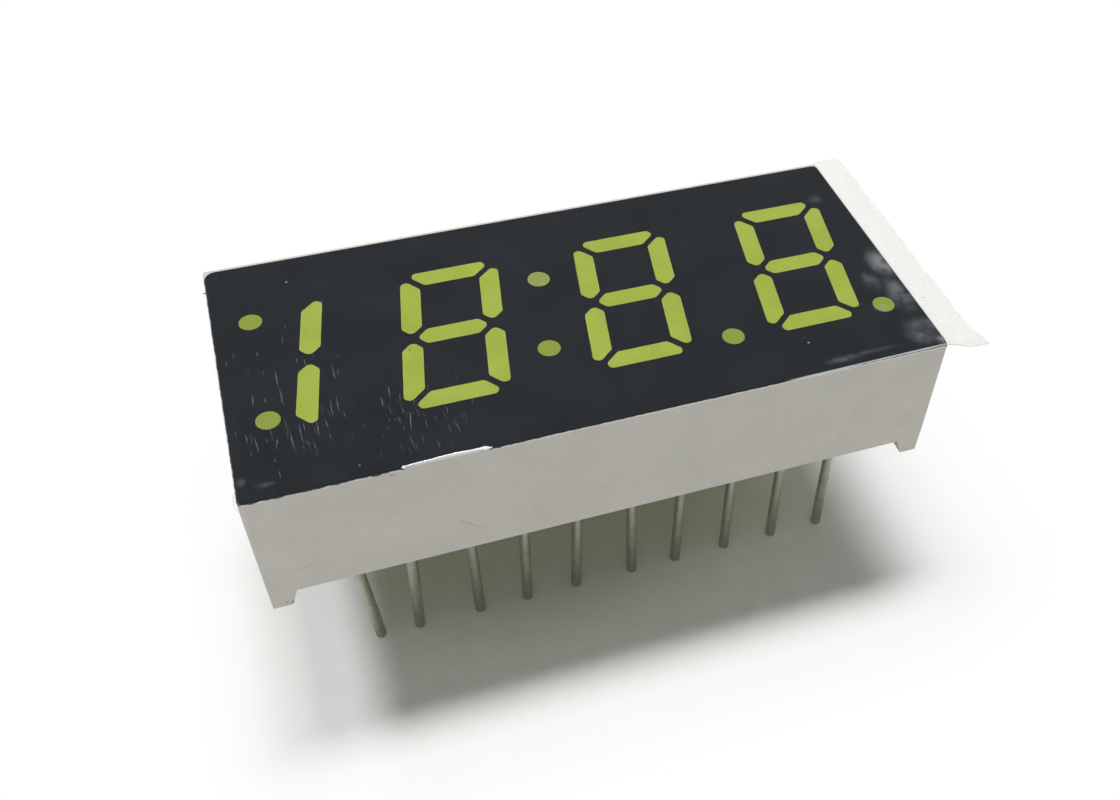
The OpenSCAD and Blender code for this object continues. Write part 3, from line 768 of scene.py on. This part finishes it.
def bar_outline(letter, inset):
    """Corners of a bar with mitred ends, drawn in by inset, leaning with the digit."""
    half = BAR_WIDTH / 2
    bar_x, bar_y = DIGIT_WIDTH / 2 - half, DIGIT_HEIGHT / 2 - half
    h, cut = half - inset, (BAR_GAP / 2 + inset) * math.sqrt(2)
    across = [(bar_x + h - cut, bar_y + h), (cut - bar_x - h, bar_y + h), (h + cut - bar_x, bar_y - h),
        (bar_x - h - cut, bar_y - h)]
    upright = [(bar_x, cut), (bar_x + h, cut + h), (bar_x + h, bar_y + h - cut), (bar_x - h, bar_y - h - cut),
        (bar_x - h, cut + h)]
    middle = [(bar_x - cut, 0), (bar_x - cut - h, h), (cut + h - bar_x, h), (cut - bar_x, 0),
        (cut + h - bar_x, -h), (bar_x - cut - h, -h)]

    def turned(points, sx, sy):
        moved = [(sx * x, sy * y) for x, y in points]
        return moved[::-1] if sx * sy < 0 else moved

    shapes = {"a": across, "b": upright, "c": turned(upright, 1, -1), "d": turned(across, 1, -1),
        "e": turned(upright, -1, -1), "f": turned(upright, -1, 1), "g": middle}
    return [(x + y * LEAN, y) for x, y in shapes[letter]]


def rounded(points, radius, steps=5):
    """An outline with arcs of radius in place of its corners."""
    result = []
    for i, at in enumerate(points):
        at = np.array(at)
        u = np.array(points[i - 1]) - at
        v = np.array(points[(i + 1) % len(points)]) - at
        u, v = u / np.linalg.norm(u), v / np.linalg.norm(v)
        half = math.acos(float(np.clip(u @ v, -1, 1))) / 2
        middle = (u + v) / np.linalg.norm(u + v)
        centre = at + middle * radius / math.sin(half)
        first, last = at + u * radius / math.tan(half), at + v * radius / math.tan(half)
        for k in range(steps + 1):
            d = first + (last - first) * k / steps - centre
            result.append(tuple(centre + d / np.linalg.norm(d) * radius))
    return result


def window_rims():
    """A thin uneven rim round each window, a hair above the resin."""
    outlines = []
    for digit, x0 in DIGITS.items():
        for letter in ("bc" if digit == 1 else "abcdefg"):
            outlines.append([(x + x0, y) for x, y in rounded(bar_outline(letter, 0.012), BAR_RADIUS - 0.01)])
    x0, y0 = UPPER_COLON
    r = RIMMED_DOT_RADIUS
    turns = np.linspace(0, 2 * math.pi, 41)[:-1]
    outlines.append([(x0 + r * math.cos(t), y0 + r * math.sin(t)) for t in turns])
    rim_width, rim_change, z0, z1 = 0.026, 0.014, MASK_TOP - 0.004, MASK_TOP + 0.0018
    parts = []
    for number, outline in enumerate(outlines):
        p = np.array(outline)
        closed = np.vstack([p[-1:], p, p[:1]])
        tangent = closed[2:] - closed[:-2]
        normal = np.stack([-tangent[:, 1], tangent[:, 0]], 1)
        normal /= np.linalg.norm(normal, axis=1)[:, None]
        along = np.cumsum(np.linalg.norm(closed[1:-1] - closed[:-2], axis=1))
        width = rim_width + rim_change * waves(along, 40 + number, (1.7, 0.9, 0.4))
        inner = p + normal * width[:, None]
        points, faces, n = [], [], len(p)
        for ring, z in ((p, z0), (p, z1), (inner, z1), (inner, z0)):
            points += [(float(x), float(y), z) for x, y in ring]
        for i in range(n):
            j = (i + 1) % n
            for k in range(4):
                a, b = k * n, (k + 1) % 4 * n
                faces.append((a + i, a + j, b + j, b + i))
        parts.append((points, faces))
    points, faces = joined(parts)
    return add_mesh("window_rims", points, faces, rim_finish())


def resin_menisci(resin):
    """Where the back resin has climbed each pin, seen from below."""
    past_hole = [(-0.012, -0.1), (0.03, -0.045), (0.09, -0.018), (0.2, 0.0), (0.2, 0.02), (-0.012, 0.02)]
    profile = [(PIN_HOLE_RADIUS + out, z) for out, z in past_hole]
    sides, parts = 24, []
    turns = [2 * math.pi * k / sides for k in range(sides)]
    for row in (-1, 1):
        for column in range(10):
            x0, y0 = (column - 4.5) * PIN_PITCH, row * ROW_Y
            points = [(x0 + r * math.cos(t), y0 + r * math.sin(t), RESIN_Z + z)
                for r, z in profile for t in turns]
            faces = []
            for i in range(len(profile)):
                j = (i + 1) % len(profile)
                for k in range(sides):
                    m = (k + 1) % sides
                    faces.append((i * sides + k, i * sides + m, j * sides + m, j * sides + k))
            parts.append((points, faces))
    points, faces = joined(parts)
    return add_mesh("resin_menisci", points, faces, resin)


def dress_nodes():
    """Gives each CAD node its finish and returns the finishes by name."""
    pins = pin_finish()
    even = (1, 1, 1)
    solder = metal_finish("solder", srgb(188, 189, 184), srgb(150, 152, 148), rough=0.28, grain=even)
    wire = metal_finish("gold_wire", srgb(224, 184, 96), srgb(200, 160, 84), rough=0.25)
    finishes = {
        "housing": housing_finish(), "face_mask": ink_finish(), "circuit_board": board_finish(),
        "led_chips": chip_finish(), "bond_wires": wire.material, "solder_joints": solder.material,
        "back_resin": back_resin_finish(),
    }
    window = window_finish()
    for name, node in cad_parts.items():
        if name == "protective_film":
            continue
        material = pins if name.startswith("pin_") else finishes.get(name, window)
        node.data.materials.clear()
        node.data.materials.append(material)
    return finishes


def floor():
    """Pale floor: paper near the object, darkened under it by painted shade, fading into the white round it,
    and clear when seen from below.
    """
    f = Finish("floor_paper")
    fibre = f.noise(0.9, 3, 0.6)
    paper = f.mix(f.remap(fibre, *USUAL), srgb(229, 228, 223), srgb(234, 233, 229))
    # painted shade: the paper is drawn darker under the object, a painted contact shadow
    painted_shade_under = f.blob((-2, -1.5, FLOOR_Z), (15, 7.2, 5), 0.6)
    f.to("Base Color", f.mix(painted_shade_under, paper, shade(srgb(231, 231, 227), 0.7)))
    f.shader.inputs["Roughness"].default_value = 0.85
    f.shader.inputs["Specular IOR Level"].default_value = 0.1
    nodes, links = f.nodes, f.links
    glow = nodes.new("ShaderNodeEmission")
    glow.inputs["Color"].default_value = (1, 1, 1, 1)
    glow.inputs["Strength"].default_value = 1.0
    path = nodes.new("ShaderNodeLightPath")
    seen = f.most([path.outputs[ray] for ray in ("Is Camera Ray", "Is Glossy Ray", "Is Transmission Ray")])
    beside = f.math("SUBTRACT", f.axis("X"), SHADOW_RIGHT)
    before = f.math("SUBTRACT", SHADOW_FRONT, f.axis("Y"))
    behind = f.math("SUBTRACT", f.axis("Y"), SHADOW_BACK)
    parts = [f.math("DIVIDE", f.math("MAXIMUM", part, 0.0), fade)
        for part, fade in ((beside, 5.5), (before, 3.2), (behind, 5.0))]
    squares = [f.math("POWER", part, 2.0) for part in parts]
    away = f.math("SQRT", f.math("ADD", f.math("ADD", squares[0], squares[1]), squares[2]))
    faint = 0.25
    shown = f.math("SUBTRACT", f.remap(away, 0, 1, 1, faint), f.remap(away, 0.9, 2.2, 0, faint))
    # on the left the shadow ends in two steps, with a level stretch between them
    left = f.math("SUBTRACT", SHADOW_LEFT, f.axis("X"))
    first_step, second_step, level = (0, 2.8), (5.0, 9.3), 0.48
    shown_left = f.math("SUBTRACT", f.remap(left, *first_step, 1, level), f.remap(left, *second_step, 0, level))
    far = f.math("SUBTRACT", 1.0, f.math("MULTIPLY", shown, shown_left))
    mixed = nodes.new("ShaderNodeMixShader")
    links.new(f.math("MULTIPLY", seen, far), mixed.inputs[0])
    links.new(f.shader.outputs[0], mixed.inputs[1])
    links.new(glow.outputs[0], mixed.inputs[2])
    below = nodes.new("ShaderNodeNewGeometry")
    clear = nodes.new("ShaderNodeBsdfTransparent")
    sided = nodes.new("ShaderNodeMixShader")
    links.new(below.outputs["Backfacing"], sided.inputs[0])
    links.new(mixed.outputs[0], sided.inputs[1])
    links.new(clear.outputs[0], sided.inputs[2])
    output = next(n for n in nodes if n.type == "OUTPUT_MATERIAL")
    links.new(sided.outputs[0], output.inputs["Surface"])
    half, z = 400.0, FLOOR_Z - 0.002
    corners = [(-1, -1), (1, -1), (1, 1), (-1, 1)]
    mesh = bpy.data.meshes.new("floor")
    mesh.from_pydata([(sx * half * MM, sy * half * MM, z * MM) for sx, sy in corners], [], [(0, 1, 2, 3)])
    mesh.materials.append(f.material)
    piece = bpy.data.objects.new("floor", mesh)
    bpy.context.scene.collection.objects.link(piece)


def area_light(name, place, aim, size, power):
    """A plain white lamp at place, turned to aim."""
    data = bpy.data.lights.new(name, "AREA")
    data.shape = "RECTANGLE"
    data.size, data.size_y = (s * MM for s in size)
    data.energy = power
    light = bpy.data.objects.new(name, data)
    bpy.context.scene.collection.objects.link(light)
    place, aim = Vector(place) * MM, Vector(aim) * MM
    light.location = place
    light.rotation_euler = (aim - place).to_track_quat("-Z", "Y").to_euler()


def lights():
    """A key light over the back, a weak wide one in front and a soft world, white where it is seen."""
    area_light("key", place=(-8, 54, 238), aim=(0, 0, 0), size=(64, 46), power=0.46)
    area_light("fill", place=(-80, -235, 44), aim=(0, 0, 2), size=(220, 90), power=0.125)
    world = bpy.data.worlds.new("studio")
    bpy.context.scene.world = world
    world.use_nodes = True
    nodes, links = world.node_tree.nodes, world.node_tree.links
    nodes.clear()
    path = nodes.new("ShaderNodeLightPath")
    seen = nodes.new("ShaderNodeMath")
    seen.operation = "MAXIMUM"
    links.new(path.outputs["Is Camera Ray"], seen.inputs[0])
    also = nodes.new("ShaderNodeMath")
    also.operation = "MAXIMUM"
    links.new(path.outputs["Is Glossy Ray"], also.inputs[0])
    links.new(path.outputs["Is Transmission Ray"], also.inputs[1])
    links.new(also.outputs[0], seen.inputs[1])
    soft, white = nodes.new("ShaderNodeBackground"), nodes.new("ShaderNodeBackground")
    soft.inputs["Color"].default_value = (0.97, 0.985, 1.0, 1)
    soft.inputs["Strength"].default_value = 0.26
    white.inputs["Color"].default_value = (1, 1, 1, 1)
    white.inputs["Strength"].default_value = 1.0
    mixed = nodes.new("ShaderNodeMixShader")
    links.new(seen.outputs[0], mixed.inputs[0])
    links.new(soft.outputs[0], mixed.inputs[1])
    links.new(white.outputs[0], mixed.inputs[2])
    output = nodes.new("ShaderNodeOutputWorld")
    links.new(mixed.outputs[0], output.inputs["Surface"])


def camera():
    """The photograph's view: image 1120 by 800 pixels, found from the face's corners and the digits."""
    width, height, focal = 1120, 800, 1183.33
    centre_x, centre_y = 645.53, 412.48
    right = Vector((0.94335, -0.32934, 0.04043)).normalized()
    forward = Vector((0.25370, 0.63739, -0.72758))
    forward = (forward - right * forward.dot(right)).normalized()
    up = right.cross(forward)
    data = bpy.data.cameras.new("camera")
    data.sensor_width = 36.0
    data.lens = focal / width * data.sensor_width
    data.shift_x = (width / 2 - centre_x) / width
    data.shift_y = (centre_y - height / 2) / width
    data.clip_start, data.clip_end = 0.002, 5.0
    eye = bpy.data.objects.new("camera", data)
    bpy.context.scene.collection.objects.link(eye)
    place = Vector((-11.087, -37.390, 41.645)) * MM
    turn = Matrix((right, up, -forward)).transposed().to_4x4()
    eye.matrix_world = Matrix.Translation(place) @ turn
    bpy.context.scene.camera = eye


camera()
lights()
floor()
node_finishes = dress_nodes()
protective_film()
film_scuffs()
specks()
edge_burr()
film_thread()
edge_chip(node_finishes["housing"])
edge_bead()
window_rims()
resin_menisci(node_finishes["back_resin"])
bpy.context.scene.view_settings.view_transform = "Standard"
